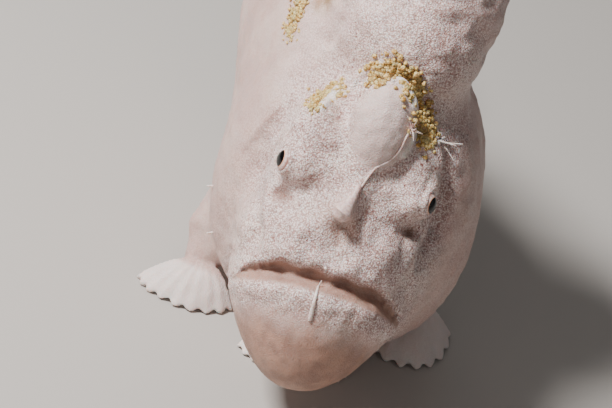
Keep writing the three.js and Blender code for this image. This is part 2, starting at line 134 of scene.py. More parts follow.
# Fields: below zero inside, growing by about 1 for each millimetre outwards.

def lump(centre, radii, tilt=0.0):
    """An ellipsoid, tilted about the axis across the fish."""
    c, s = math.cos(math.radians(tilt)), math.sin(math.radians(tilt))

    def field(x, y, z):
        py, pz = y - centre[1], z - centre[2]
        a = (x - centre[0]) / radii[0]
        b = (c * py + s * pz) / radii[1]
        e = (c * pz - s * py) / radii[2]
        near = np.sqrt(a * a + b * b + e * e)
        slope = np.sqrt((a / radii[0]) ** 2 + (b / radii[1]) ** 2 + (e / radii[2]) ** 2)
        return near * (near - 1) / np.maximum(slope, 1e-6)

    return field


def bar(points, radii):
    """A round bar along a line of points, with a radius at each of them."""
    def field(x, y, z):
        best = None
        for (ax, ay, az), (bx, by, bz), ra, rb in zip(points, points[1:], radii, radii[1:]):
            dx, dy, dz = bx - ax, by - ay, bz - az
            t = np.clip(((x - ax) * dx + (y - ay) * dy + (z - az) * dz) / (dx * dx + dy * dy + dz * dz), 0, 1)
            away = np.sqrt((x - ax - dx * t) ** 2 + (y - ay - dy * t) ** 2 + (z - az - dz * t) ** 2)
            here = away - (ra + (rb - ra) * t)
            best = here if best is None else np.minimum(best, here)
        return best

    return field


def both_sides(field, middle=0.0):
    """A field and its mirror image about a plane along the fish."""
    return lambda x, y, z: field(np.abs(x - middle), y, z)


def join(a, b, k):
    """Two fields as one, with a soft hollow of about k between them."""
    h = np.maximum(k - np.abs(a - b), 0) / k
    return np.minimum(a, b) - h * h * k / 4


# The masses of the flesh, each with the softness of its join to those before it.
MASSES = [
    (lump([2.9, 46, 32], [22.6, 31, 27], 6), 1),  # trunk
    (lump([3.2, 42, 21.5], [22.4, 22, 21.8]), 6),  # belly
    (lump([1.5, 52, 17], [13, 15, 17.5]), 6),  # seat behind the hands
    (lump([1.0, 58, 47], [15.5, 22, 22]), 6),  # back
    (lump([1.0, 71, 43.5], [13.5, 20, 20], 14), 9),  # rear
    (lump([0, 85, 49], [5.2, 15, 8.6], 10), 8),  # root of the tail
    (lump(face(0, -2, -11), [13.2, 18, 12.2], FACE_TILT), 4),  # forehead
    (lump(face(0, -11, -14), [16.6, 10, 14], FACE_TILT), 5),  # cheeks
    (lump(face(0, -19.5, -12.5), [14.6, 7, 12.6], FACE_TILT), 4),  # jaw
    (lump(face(0, -25.5, -9.8), [7.5, 9.6, 8.6], FACE_TILT), 8),  # chin
    (lump([0, 19, 20], [11, 13, 12]), 8),  # throat
]
BROW = both_sides(lump(face(8.6, 4.4, -2.9), [4.0, 6.4, 3.3], FACE_TILT))
LIDS = both_sides(lump(EYE - 1.05 * GAZE, [3.2, 3.2, 3.2]))
KNOB = bar([face(0.9, 3, -0.6), face(0.1, -1.5, 0.6), face(-0.7, -5.2, 1.6)], [1.7, 1.5, 1.7])
THIRD_SPINE = bar([[3.8, 43, 62.5], [4.6, 47, 67], [4.6, 52, 70]], [13.2, 14.2, 11.5])
SECOND_SPINE = lump(face(1.2, 9.8, 0.4), [5.0, 7.6, 4.6], FACE_TILT + 8)
ARMS = both_sides(bar([[13, 55, 15], [17.5, 51, 9.5], [19, 46.5, 5]], [5.5, 4.6, 3.2]), LEAN)
PELVIC_STUMPS = both_sides(bar([[4.5, 35, 8], [5.4, 31.5, 4]], [3.6, 2.2]), LEAN)


def smooth(x, low, high):
    """A soft step from 0 at low to 1 at high."""
    t = np.clip((x - low) / (high - low), 0, 1)
    return t * t * (3 - 2 * t)


def hill(across, up, u, v, wide, high):
    """A round hill of height 1 at (u, v) on the face."""
    return np.exp(-(((across - u) / wide) ** 2) - ((up - v) / high) ** 2)


def ridge(distance, wide):
    """A soft ridge of height 1 where the distance is zero."""
    return np.exp(-((distance / wide) ** 2))


def on_dome(across, up):
    """1 on the dome of the second spine, and 0 beside it."""
    return smooth(-np.hypot((across - 1.2) / 5.2, (up - 9.4) / 7.6), -1.05, -0.8)


def mouth_heights(u, v):
    """How far a place on the face is below the upper lip's edge, and above the lower lip's crest."""
    share = np.minimum(u / MOUTH_HALF, MOUTH_END)
    wave = 0.35 * np.cos(2 * math.pi * u / 5.2) * (1 - share / MOUTH_END)
    return MOUTH_UPPER - wave - 5.4 * share ** 4.5 - v, v - (MOUTH_LOWER - 2.4 * share ** 2.5)


def face_relief(x, y, z):
    """How far the forms of the face rise over its masses."""
    u, v = np.abs(x), up_face(y, z)
    under, over = mouth_heights(u, v)
    h = 1.5 * hill(u, v, 7.2, -11.8, 4.0, 3.6)  # lobes of the snout
    h += 0.9 * hill(u, v, 0, -14.2, 3.0, 1.8)  # middle of the upper lip
    h += 0.5 * hill(u, under, 0, -0.9, 13, 0.9)  # upper lip
    h += 0.8 * hill(u, over, 0, -1.4, 12, 1.7)  # lower lip
    h -= 1.1 * hill(u, v, 0, -8.8, 1.5, 1.9)  # hollow under the knob
    h -= 1.5 * hill(u, v, 10.7, -5.6, 1.5, 1.3)  # nostrils
    h -= 1.4 * hill(u, v, 15.4, -1, 2.2, 8)  # hollow behind the eye
    h -= MOUTH_DEPTH * smooth(under, 0, 0.9) * smooth(over, -0.3, 2.2)
    return h


def skin_field(x, y, z):
    """The field of the whole body without its fins, at places of the bent fish."""
    sx, sy = straightened(x, y)
    d = MASSES[0][0](sx, sy, z)
    for mass, k in MASSES[1:]:
        d = join(d, mass(sx, sy, z), k)
    d = join(d, THIRD_SPINE(sx, sy, z), 5)
    low = z < LIMBS_BELOW
    d[low] = join(d[low], ARMS(sx[low], sy[low], z[low]), 5)
    d[low] = join(d[low], PELVIC_STUMPS(sx[low], sy[low], z[low]), 3)
    front = y < FACE_BEFORE
    fx, fy, fz = x[front], y[front], z[front]
    f = join(d[front], BROW(fx, fy, fz), 3) - face_relief(fx, fy, fz)
    f = join(f, KNOB(fx, fy, fz), 1.5)
    f = join(f, LIDS(fx, fy, fz), 2.2)
    d[front] = join(f, SECOND_SPINE(fx, fy, fz), 2.0)
    return d


def slope_of(points):
    """The field at some points, and its slope there."""
    d = skin_field(*points.T)
    shifts = [skin_field(*(points + SLOPE_STEP * np.eye(3)[n]).T) for n in range(3)]
    return d, np.stack([(s - d) / SLOPE_STEP for s in shifts], -1)


def pulled(points, level, rounds=4, most=4):
    """The points, moved along the field's slope to where the field has a level."""
    for _ in range(rounds):
        d, slope = slope_of(points)
        steep = np.maximum((slope ** 2).sum(1), SLOPE_LEAST)
        points = points - slope * np.clip((d - level) / steep, -most, most)[:, None]
    return points


def body_surface(step):
    """The closed surface of the body: a vertex in each crossed cell, pulled onto the field's surface."""
    axes = [np.arange(low, high, step) for low, high in BODY_GRID]
    grid = np.meshgrid(*axes, indexing="ij")
    value = skin_field(*[g.ravel() for g in grid]).reshape(grid[0].shape)
    inside = value < 0
    n = [s - 1 for s in value.shape]
    count = np.zeros(n, np.int8)
    corners = [(a, b, c) for a in (0, 1) for b in (0, 1) for c in (0, 1)]
    for a, b, c in corners:
        count += inside[a:n[0] + a, b:n[1] + b, c:n[2] + c]
    cell = np.argwhere((count > 0) & (count < 8))
    index = np.full(n, -1)
    index[tuple(cell.T)] = np.arange(len(cell))

    total = np.zeros((len(cell), 3))
    hits = np.zeros((len(cell), 1))
    for a in corners:
        for axis in range(3):
            if a[axis]:
                continue
            b = tuple(v + (k == axis) for k, v in enumerate(a))
            va = value[tuple((cell + a).T)]
            vb = value[tuple((cell + b).T)]
            crossed = (va < 0) != (vb < 0)
            t = np.where(crossed, va / np.where(va == vb, 1, va - vb), 0)[:, None]
            total += crossed[:, None] * (np.array(a) + t * (np.array(b) - np.array(a)))
            hits += crossed[:, None]
    points = np.array([axis[0] for axis in axes]) + step * (cell + total / hits)
    points = pulled(points, 0.0, 3, step / 3)

    faces = []
    for axis in range(3):
        head = [slice(1, -1)] * 3
        tail = [slice(1, -1)] * 3
        tail[axis] = slice(2, None)
        edges = np.argwhere(inside[tuple(head)] != inside[tuple(tail)]) + 1
        first, second = [np.eye(3, dtype=int)[(axis + k) % 3] for k in (1, 2)]
        ring = [edges, edges - first, edges - first - second, edges - second]
        quad = np.stack([index[tuple(np.minimum(r, np.array(n) - 1).T)] for r in ring], 1)
        flip = ~inside[tuple(edges.T)]
        quad[flip] = quad[flip][:, ::-1]
        faces.append(quad)
    return points, np.concatenate(faces)


# Fins, each from a function that gives a point by its share across the rays and along them.

def height_at(along, start, step):
    """The height at which a vertical line over the fish's middle meets the body."""
    z = start
    while True:
        place = bent(np.array(0.0), np.array(float(along)), np.array(z))
        if skin_field(*[np.array([v]) for v in place])[0] <= 0:
            return z
        z += step


def root_line(start, length, first, step):
    """Places along the fish's middle, and the height of the body at each."""
    places = np.linspace(start, start + length, 9)
    return places, np.array([height_at(a, first, step) for a in places])


DORSAL_ROOT = root_line(DORSAL_FROM, DORSAL_LENGTH, 90.0, -0.25)
ANAL_ROOT = root_line(ANAL_FROM, ANAL_LENGTH, 0.0, 0.25)


def dorsal(share, t):
    along = DORSAL_FROM + DORSAL_LENGTH * share
    root = np.interp(along, *DORSAL_ROOT) - 2
    long = 2 + 11 * (0.62 + 0.38 * np.sin(math.pi * (0.1 + 0.75 * share)))
    lean = np.radians(30 + 26 * share)
    sway = 0.7 * np.sin(share * (DORSAL_RAYS - 1) * 0.9)
    return bent(sway * t * t, along + long * t * np.sin(lean), root + long * t * np.cos(lean))


def anal(share, t):
    along = ANAL_FROM + ANAL_LENGTH * share
    root = np.interp(along, *ANAL_ROOT) + 2
    long = 2 + 9 * (0.6 + 0.4 * np.sin(math.pi * (0.15 + 0.7 * share)))
    lean = np.radians(35 + 22 * share)
    sway = 0.5 * np.sin(share * (ANAL_RAYS - 1) * 1.1)
    return bent(sway * t * t, along + long * t * np.sin(lean), root - long * t * np.cos(lean))


def caudal(share, t):
    side = 2 * share - 1
    heading = np.radians(10 + 26 * side)
    long = CAUDAL_LENGTH * (1 - 0.13 * side * side)
    along = CAUDAL_FROM + long * t * np.cos(heading)
    z = 51.5 + 5.4 * side + long * np.sin(heading) * (t + 0.1 * t * t)
    sway = 0.5 * t * np.sin(share * (CAUDAL_RAYS - 1) * 1.3)
    return bent(-2.2 * t * t + sway, along, z)


def hand(side, wrist, inner, outer, long, arch):
    """A fin that spreads from its wrist and lies down on the floor."""
    def at(share, t):
        heading = np.radians(inner + (outer - inner) * share)
        reach = long * (0.86 + 0.14 * np.sin(math.pi * share))
        x = wrist[0] + reach * t * np.sin(heading)
        y = wrist[1] - reach * t * np.cos(heading)
        z = wrist[2] + (0.1 - wrist[2]) * t * t + arch * np.sin(math.pi * t)
        return bent(LEAN + side * x, y, z)

    return at


def fin_surface(at, rays, notch, reverse=False):
    """A closed sheet with a raised ridge for each ray, notched between their tips."""
    place = np.arange((rays - 1) * FIN_COLUMNS + 1) / FIN_COLUMNS
    on_ray = np.abs(np.cos(math.pi * place))
    web = 1 - on_ray ** 3
    reach = 1 - notch * (1 - on_ray)
    t = np.linspace(0, 1, FIN_ROWS + 1)
    share = np.repeat(place[:, None] / (rays - 1), FIN_ROWS + 1, 1)
    middle = at(share, reach[:, None] * t[None])
    normal = np.cross(np.gradient(middle, axis=0), np.gradient(middle, axis=1))
    normal /= np.maximum(np.linalg.norm(normal, axis=-1, keepdims=True), 1e-9)
    half = RAY + (WEB - RAY) * web[:, None]
    half = PLATE + (half - PLATE) * smooth(t, 0, 0.4)[None]
    half = half * (1 - 0.25 * smooth(t, 0.75, 1))[None]
    top = middle + normal * half[..., None]
    under = middle - normal * half[..., None]
    points = np.concatenate([top.reshape(-1, 3), under.reshape(-1, 3)])

    columns, n = len(place), FIN_ROWS + 1
    shift = columns * n
    faces = []
    for c in range(columns - 1):
        for r in range(FIN_ROWS):
            p, q, s, w = c * n + r, (c + 1) * n + r, (c + 1) * n + r + 1, c * n + r + 1
            faces += [(p, q, s, w), (p + shift, w + shift, s + shift, q + shift)]
    rim = [((c + 1) * n, c * n) for c in range(columns - 1)]
    rim += [(c * n + FIN_ROWS, (c + 1) * n + FIN_ROWS) for c in range(columns - 1)]
    rim += [(r, r + 1) for r in range(FIN_ROWS)]
    rim += [((columns - 1) * n + r + 1, (columns - 1) * n + r) for r in range(FIN_ROWS)]
    faces += [(p, q, q + shift, p + shift) for p, q in rim]
    faces = np.array(faces)
    return points, faces[:, ::-1] if reverse else faces


# Meshes: making them, and reading and writing their numbers.

def mesh_object(name, points, faces):
    """A Blender object from points in the fish's own millimetres."""
    mesh = bpy.data.meshes.new(name)
    mesh.from_pydata(((points + OFFSET) * MM).tolist(), [], faces)
    mesh.update()
    obj = bpy.data.objects.new(name, mesh)
    bpy.context.scene.collection.objects.link(obj)
    return obj


def shade_smooth(mesh):
    mesh.polygons.foreach_set("use_smooth", [True] * len(mesh.polygons))


def applied(obj):
    """Turns an object's modifiers into its mesh."""
    depsgraph = bpy.context.evaluated_depsgraph_get()
    mesh = bpy.data.meshes.new_from_object(obj.evaluated_get(depsgraph))
    obj.modifiers.clear()
    old = obj.data
    obj.data = mesh
    bpy.data.meshes.remove(old)


def vertex_numbers(mesh, name):
    """The three numbers that each vertex has under a name, such as its co or its normal."""
    flat = np.empty(len(mesh.vertices) * 3)
    mesh.vertices.foreach_get(name, flat)
    return flat.reshape(-1, 3)


def set_points(mesh, points):
    mesh.vertices.foreach_set("co", ((points + OFFSET) * MM).ravel())
    mesh.update()


def noise_at(points, scale, seed):
    """Smooth noise between about -1 and 1, by place in millimetres."""
    moved = points / scale + seed
    return np.array([noise.noise(p) for p in moved.tolist()])


def polyline_distance(u, v, line):
    best = np.full(u.shape, 1e9)
    for (au, av), (bu, bv) in zip(line, line[1:]):
        du, dv = bu - au, bv - av
        t = np.clip(((u - au) * du + (v - av) * dv) / (du * du + dv * dv), 0, 1)
        best = np.minimum(best, np.hypot(u - au - du * t, v - av - dv * t))
    return best


# Folds, creases and a golden streak, as lines on the face.
RIM_FOLD = [
    (-9, 9.4), (-7, 13.3), (-5.3, 15.6), (-1.5, 19.2), (3.2, 16.6), (6.4, 11.8), (6.4, 7.6), (5.8, 6.0)]
NAPE_CREASE = [(-10.5, 21), (-9.5, 25), (-8.2, 29), (-8.0, 34)]
CHEEK_FOLD = [(11.0, -7.0), (12.4, -8.4), (14.2, -11.9), (15.2, -16.0)]
CORNER_FOLD = [(14.2, -19.5), (14.8, -22.5), (13.8, -25.0)]
GOLD_STREAK = [(-13.5, 26), (-11.5, 31)]

# Small lobes over the mouth: how high they rise, where they are and how far they spread.
LOBES = [
    (1.0, 3.4, -13.4, 1.6, 1.4),
    (1.0, 6.6, -14.0, 1.5, 1.6),
    (1.0, 9.8, -14.4, 1.5, 1.7),
    (0.8, 7.6, -9.6, 2.0, 1.5),
    (0.7, 3.6, -8.0, 1.0, 1.6),
]


def lid_relief(points, side):
    """The raised rim of an eye's opening and the crease around it, by the angle from the line of sight."""
    mirror = np.array([side, 1, 1])
    gaze = GAZE * mirror / np.linalg.norm(GAZE)
    away = points - EYE * mirror
    reach = np.linalg.norm(away, axis=1)
    angle = np.degrees(np.arccos(np.clip(away @ gaze / np.maximum(reach, 1e-6), -1, 1)))
    near = smooth(-reach, -6.5, -3.6)
    return near * (0.24 * ridge(angle - 56, 8) - 0.1 * ridge(angle - 76, 8))


def fine_relief(points):
    """How far the small forms rise on the finished skin."""
    x, y, z = points.T
    u, v = np.abs(x), up_face(y, z)
    front = smooth(-y, -36, -30)
    under, over = mouth_heights(u, v)
    face_skin = front * smooth(z, 10, 20) * (1 - smooth(-over, 4, 7))
    h = 0.55 * ridge(polyline_distance(x, v, RIM_FOLD), 0.55) * front
    h -= 0.7 * ridge(polyline_distance(x, v, NAPE_CREASE), 1.1) * smooth(z, 48, 54)
    h += 0.35 * ridge(polyline_distance(u, v, CHEEK_FOLD), 0.8) * front
    h -= 0.35 * ridge(polyline_distance(u, v, CORNER_FOLD), 0.5) * front
    h -= 0.5 * ridge(under - 0.25, 0.3) * front * smooth(-u, -14.6, -13.0)
    for side in (1, -1):
        h += lid_relief(points, side)
    h += 0.3 * hill(x, v, -0.95, -5.3, 1.4, 1.5) * front
    h += 0.10 * noise_at(points, 1.3, 3.1) * (0.35 + 0.65 * face_skin)
    h += 0.5 * sum(high * hill(u, v, *place) for high, *place in LOBES) * front

    beside = front * smooth(v, -17, -12) * smooth(-v, -13, -7)
    edge = u - 13.2 + 0.014 * (v + 1) ** 2 + 0.5 * noise_at(points, 3.2, 9.1)
    h += 0.35 * ridge(edge, 0.9) * beside
    h -= 0.95 * ridge(edge - 1.9, 1.1) * beside

    sleek = 1 - 0.75 * np.maximum(smooth(-over, 3, 8) * front, on_dome(x, v))
    crinkled = smooth(z, 56, 64) * smooth(y, 26, 34)
    h += (0.2 + 0.12 * front) * noise_at(points, 3.0, 7.7) * sleek
    h += 0.16 * noise_at(points, 1.9, 5.2) * (0.4 + 0.6 * face_skin)
    h += 0.4 * noise_at(points, 8.5, 1.9) * (1 - 0.6 * front)
    h += 0.45 * noise_at(points * np.array([1, 1, 2.2]), 4.6, 2.6) * crinkled
    return h


def one_skin():
    """The body with its fins, remeshed as one closed skin."""
    parts = [
        body_surface(BODY_STEP),
        fin_surface(dorsal, DORSAL_RAYS, 0.07),
        fin_surface(anal, ANAL_RAYS, 0.07),
        fin_surface(caudal, CAUDAL_RAYS, 0.05),
    ]
    for side in (1, -1):
        parts.append(fin_surface(hand(side, *HAND), HAND_RAYS, 0.06, side < 0))
        parts.append(fin_surface(hand(side, *PELVIC), PELVIC_RAYS, 0.07, side < 0))
    starts = np.cumsum([0] + [len(p) for p, _ in parts])
    faces = np.concatenate([f + s for (_, f), s in zip(parts, starts)])
    obj = mesh_object("skin", np.concatenate([p for p, _ in parts]), faces.tolist())
    remesh = obj.modifiers.new("one_skin", "REMESH")
    remesh.mode = "VOXEL"
    remesh.voxel_size = SKIN_VOXEL * MM
    even = obj.modifiers.new("even", "SMOOTH")
    even.factor, even.iterations = 0.5, 3
    applied(obj)
    return obj


def painted(mesh, points):
    """Keeps at each vertex how far the skin is pebbled, tan with painted shade, darkened by painted shade in
    the nostril pits, gold, rim, fin and dome there.
    """
    x, y, z = points.T
    u, v = np.abs(x), up_face(y, z)
    under, over = mouth_heights(u, v)
    front = smooth(-y, -34, -28) * smooth(z, 6, 14)
    band = smooth(under, 0.0, 0.5) * smooth(over, -0.5, 0.4) * front
    # The chin's tan, deepened with painted shade and painted warm bounce light.
    chin = smooth(-over + 1.2 * noise_at(points, 2.4, 4.4), 2.0, 9.0) * smooth(-y, -24, -16)
    bare = smooth(-over + 1.6 * noise_at(points, 1.5, 8.8), 2.2, 6.4)
    dome = np.maximum(on_dome(x, v) * front, hill(x, v, -0.7, -4.6, 1.5, 2.2) * front)
    flank = smooth(np.abs(x - 1), 14.5, 18) * (1 - 0.7 * smooth(z, 52, 60))
    pebbled = 0.35 + 0.65 * smooth(-y, -44, -30) * (1 - bare) * (1 - 0.9 * band)
    pebbled = pebbled * (1 - 0.55 * dome) * (1 - 0.55 * flank)
    # Painted shade on the snout under and around the lure's bulb.
    shade_round_bulb = hill(x, v, -1.6, -6.0, 2.6, 2.6) * front
    # Painted shadow that the knob casts on the snout below it.
    hollow = hill(x, v, 0, -8.6, 2.2, 2.2) * front
    # Tan and painted shade in one mask: the band between the lips, the chin's tan deepened by painted shade,
    # the painted shadows under the knob and the bulb, and below, a tan tone on the flanks.
    brown_and_shade = np.clip(0.9 * band + chin + 0.6 * hollow + 0.35 * shade_round_bulb, 0, 1)
    brown_and_shade = np.maximum(brown_and_shade, 0.28 * flank)
    # Painted shade in the nostril pits.
    pit_shade_mask = hill(u, v, 10.7, -5.6, 1.3, 1.1) * front
    gold = ridge(polyline_distance(x, v, GOLD_STREAK), 1.4) * smooth(y, 24, 30) * smooth(z, 56, 62)
    rim = ridge(polyline_distance(x, v, RIM_FOLD), 0.6) * front
    fin_part = smooth(skin_field(x, y, z), 0.9, 2.5)
    unused = np.zeros_like(rim)
    for name, channels in (
            ("tint_and_shade", (pebbled, brown_and_shade, pit_shade_mask, gold)),
            ("extra", (rim, fin_part, dome, unused))):
        attribute = mesh.attributes.new(name, "FLOAT_COLOR", "POINT")
        attribute.data.foreach_set("color", np.stack(channels, 1).astype(np.float32).ravel())


skin = one_skin()
skin_points = vertex_numbers(skin.data, "co") / MM - OFFSET
skin_points += vertex_numbers(skin.data, "normal") * fine_relief(skin_points)[:, None]
skin_points[:, 2] = np.maximum(skin_points[:, 2], 0.0)
set_points(skin.data, skin_points)
shade_smooth(skin.data)
painted(skin.data, skin_points)
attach(skin, "root")
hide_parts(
    "head", "torso", "tail", "dorsal_spine_2", "dorsal_spine_3",
    "pectoral_arm_left", "pectoral_arm_right", "dorsal_fin", "anal_fin", "caudal_fin",
    "pectoral_fin_left", "pectoral_fin_right", "pelvic_fin_left", "pelvic_fin_right")


# Materials.

class Nodes:
    """Short names for making a material's nodes."""

    def __init__(self, name):
        self.material = bpy.data.materials.new(name)
        self.material.use_nodes = True
        self.tree = self.material.node_tree
        self.shader = self.tree.nodes["Principled BSDF"]

    def add(self, kind, inputs=(), **settings):
        node = self.tree.nodes.new("ShaderNode" + kind)
        for key, value in settings.items():
            setattr(node, key, value)
        for key, value in dict(inputs).items():
            self.put(node.inputs[key], value)
        return node

    def put(self, socket, value):
        if isinstance(value, bpy.types.NodeSocket):
            self.tree.links.new(value, socket)
        else:
            socket.default_value = value

    def shade(self, **values):
        """Sets the shader's sockets. A name's underscores stand for spaces."""
        for name, value in values.items():
            self.put(self.shader.inputs[name.replace("_", " ")], value)

    def millimetres(self):
        """The place on the object, in millimetres."""
        inputs = {0: self.add("TexCoord").outputs["Object"], "Scale": 1 / MM}
        return self.add("VectorMath", inputs, operation="SCALE").outputs[0]

    def math(self, operation, a, b=0.0):
        return self.add("Math", {0: a, 1: b}, operation=operation).outputs[0]

    def times(self, a, b):
        return self.math("MULTIPLY", a, b)

    def step(self, value, low, high):
        inputs = {"Value": value, "From Min": low, "From Max": high}
        return self.add("MapRange", inputs, interpolation_type="SMOOTHSTEP").outputs["Result"]

    def mix(self, share, a, b):
        node = self.add("Mix", data_type="RGBA")
        for socket, value in zip([s for s in node.inputs if s.enabled], (share, a, b)):
            self.put(socket, value)
        return next(s for s in node.outputs if s.enabled)

    def channels(self, name):
        """An attribute's first three numbers."""
        attribute = self.add("Attribute", attribute_name=name)
        return self.add("SeparateColor", {0: attribute.outputs["Color"]}).outputs


def colour(r, g, b):
    """A linear colour from its screen values between 0 and 255."""
    shares = [c / 255 for c in (r, g, b)]
    return tuple(((s + 0.055) / 1.055) ** 2.4 if s > 0.04045 else s / 12.92 for s in shares) + (1.0,)


def skin_material():
    m = Nodes("skin")
    place = m.millimetres()
    pebbled, brown_and_shade, shade_in_pits = m.channels("tint_and_shade")
    rim, fin_part, dome = m.channels("extra")
    gold = m.add("Attribute", attribute_name="tint_and_shade").outputs["Alpha"]

    drift = m.add("TexNoise", {"Vector": place, "Scale": 0.9, "Detail": 3.0})
    warped = m.add("VectorMath", {0: place, 1: drift.outputs["Color"]}, operation="ADD").outputs[0]
    grains = m.add("TexVoronoi", {"Vector": warped, "Scale": 3.3, "Randomness": 0.9}).outputs["Distance"]
    small = m.add("TexVoronoi", {"Vector": warped, "Scale": 5.6, "Randomness": 1.0}).outputs["Distance"]
    dots = m.add("TexVoronoi", {"Vector": warped, "Scale": 1.15, "Randomness": 1.0})
    clouds = m.add("TexNoise", {"Vector": place, "Scale": 0.11, "Detail": 4.0}).outputs["Fac"]
    patches = m.add("TexNoise", {"Vector": place, "Scale": 0.33, "Detail": 5.0, "Roughness": 0.6})
    patches = patches.outputs["Fac"]

    fleck = m.times(m.step(grains, 0.5, 0.2), pebbled)
    # Painted shade in the low gaps between the grains.
    between = m.times(m.step(grains, 0.5, 0.72), pebbled)
    chance = m.add("SeparateColor", {0: dots.outputs["Color"]}).outputs[0]
    spot = m.times(m.step(dots.outputs["Distance"], 0.26, 0.14), m.step(chance, 0.45, 0.55))
    spot = m.times(spot, m.step(pebbled, 0.2, 0.9))
    # The tan and painted shade colour for the lips, the chin, the flanks and the painted shadows under the
    # knob and the bulb.
    flesh = m.mix(m.step(patches, 0.35, 0.65), colour(142, 101, 82), colour(175, 132, 110))
    base = m.mix(m.step(clouds, 0.38, 0.62), colour(208, 178, 171), colour(222, 196, 187))
    for share, most, paint in (
            (m.step(patches, 0.45, 0.7), 0.5, colour(190, 155, 146)),
            (fleck, 0.85, colour(250, 242, 238)),
            (between, 0.55, colour(140, 92, 80)),
            # painted shade in the gaps between the grains
            (spot, 0.75, colour(118, 62, 52)),
            # tan, with painted shade on the chin and under the knob and the bulb
            (brown_and_shade, 0.85, flesh),
            # painted shade in the nostril pits
            (shade_in_pits, 0.8, colour(120, 78, 58)),
            (dome, 0.6, colour(216, 192, 184)),
            (rim, 0.75, colour(248, 240, 232)),
            (fin_part, 0.6, colour(240, 230, 224)),
            (gold, m.step(patches, 0.3, 0.5), colour(150, 112, 58))):
        base = m.mix(m.times(share, most), base, paint)

    grain_height = m.times(m.math("SUBTRACT", 0.6, grains), pebbled)
    fine_height = m.times(m.math("SUBTRACT", 0.5, small), 0.35)
    height = m.math("ADD", grain_height, fine_height)
    bump = m.add("Bump", {"Height": height, "Strength": 0.75, "Distance": 0.00022})
    rough = m.math("ADD", 0.42, m.times(patches, 0.16))
    m.shade(
        Base_Color=base, Normal=bump.outputs[0], Roughness=rough, Specular_IOR_Level=0.4,
        Subsurface_Weight=0.35, Subsurface_Radius=(1.0, 0.42, 0.3), Subsurface_Scale=0.0011)
    return m.material


def growth_material(name, low, high, deep, scale, rough, bump):
    """A soft mottled material: two colours in patches, and a deeper one between small cells."""
    m = Nodes(name)
    place = m.millimetres()
    patches = m.add("TexNoise", {"Vector": place, "Scale": scale, "Detail": 4.0}).outputs["Fac"]
    cells = m.add("TexVoronoi", {"Vector": place, "Scale": scale * 2.2}).outputs["Distance"]
    base = m.mix(m.step(patches, 0.35, 0.65), low, high)
    base = m.mix(m.times(m.step(cells, 0.45, 0.8), 0.6), base, deep)
    height = m.math("ADD", patches, m.times(cells, -0.8))
    node = m.add("Bump", {"Height": height, "Strength": bump, "Distance": 0.0002})
    m.shade(
        Base_Color=base, Normal=node.outputs[0], Roughness=rough,
        Subsurface_Weight=0.4, Subsurface_Radius=(1.0, 0.6, 0.35), Subsurface_Scale=0.0008)
    return m.material


skin.data.materials.append(skin_material())
WHITE_FLESH = growth_material(
    "white_flesh", colour(222, 200, 192), colour(240, 228, 220), colour(196, 160, 148), 1.4, 0.42, 0.4)
LURE_FLESH = growth_material(
    "lure_flesh", colour(204, 172, 164), colour(228, 204, 196), colour(186, 148, 140), 1.4, 0.36, 0.3)
GOLD = growth_material(
    "golden_growth", colour(196, 150, 74), colour(236, 208, 146), colour(120, 82, 34), 1.6, 0.5, 0.7)


# The photo's camera: its height over the fish, its turn to the fish's right, its roll, its distance in
# millimetres, the millimetres for each pixel at the face, the picture's size and where the face is in it.
ELEVATION, TURN, ROLL = math.radians(35), math.radians(5), math.radians(19.8)
DISTANCE, SCALE, WIDTH, HEIGHT = 330.0, 0.16, 612, 408
FACE_AT = (358, 181)
BACK = np.array([
    -math.sin(TURN) * math.cos(ELEVATION), -math.cos(TURN) * math.cos(ELEVATION), math.sin(ELEVATION)])
RIGHT = np.array([math.cos(TURN), -math.sin(TURN), 0.0])
UP = np.cross(BACK, RIGHT)
VIEW_X = RIGHT * math.cos(ROLL) + UP * math.sin(ROLL)
VIEW_Y = -RIGHT * math.sin(ROLL) + UP * math.cos(ROLL)
VIEW_MIDDLE = FACE_ORIGIN + (VIEW_X * (WIDTH / 2 - FACE_AT[0]) - VIEW_Y * (HEIGHT / 2 - FACE_AT[1])) * SCALE
VIEW_FROM = VIEW_MIDDLE + BACK * DISTANCE

# A ray starts this far before the face, and goes this share of the field's value in each step.
MARCH_FROM, MARCH_SHARE, MARCH_STEPS = 60, 0.8, 60


def seen_skin(places):
    """The places on the skin that the camera sees at some places of its picture."""
    places = np.asarray(places, float)
    aim = VIEW_MIDDLE + (VIEW_X * (places[:, :1] - WIDTH / 2) - VIEW_Y * (places[:, 1:] - HEIGHT / 2)) * SCALE
    way = aim - VIEW_FROM
    way /= np.linalg.norm(way, axis=1, keepdims=True)
    points = VIEW_FROM + way * (DISTANCE - MARCH_FROM)
    for _ in range(MARCH_STEPS):
        points = points + way * (MARCH_SHARE * skin_field(*points.T))[:, None]
    return points


def outwards(points):
    """The unit vectors that point out of the skin."""
    slope = slope_of(points)[1]
    return slope / np.linalg.norm(slope, axis=1, keepdims=True)


# The lure and the small growths, which all sit on the skin.

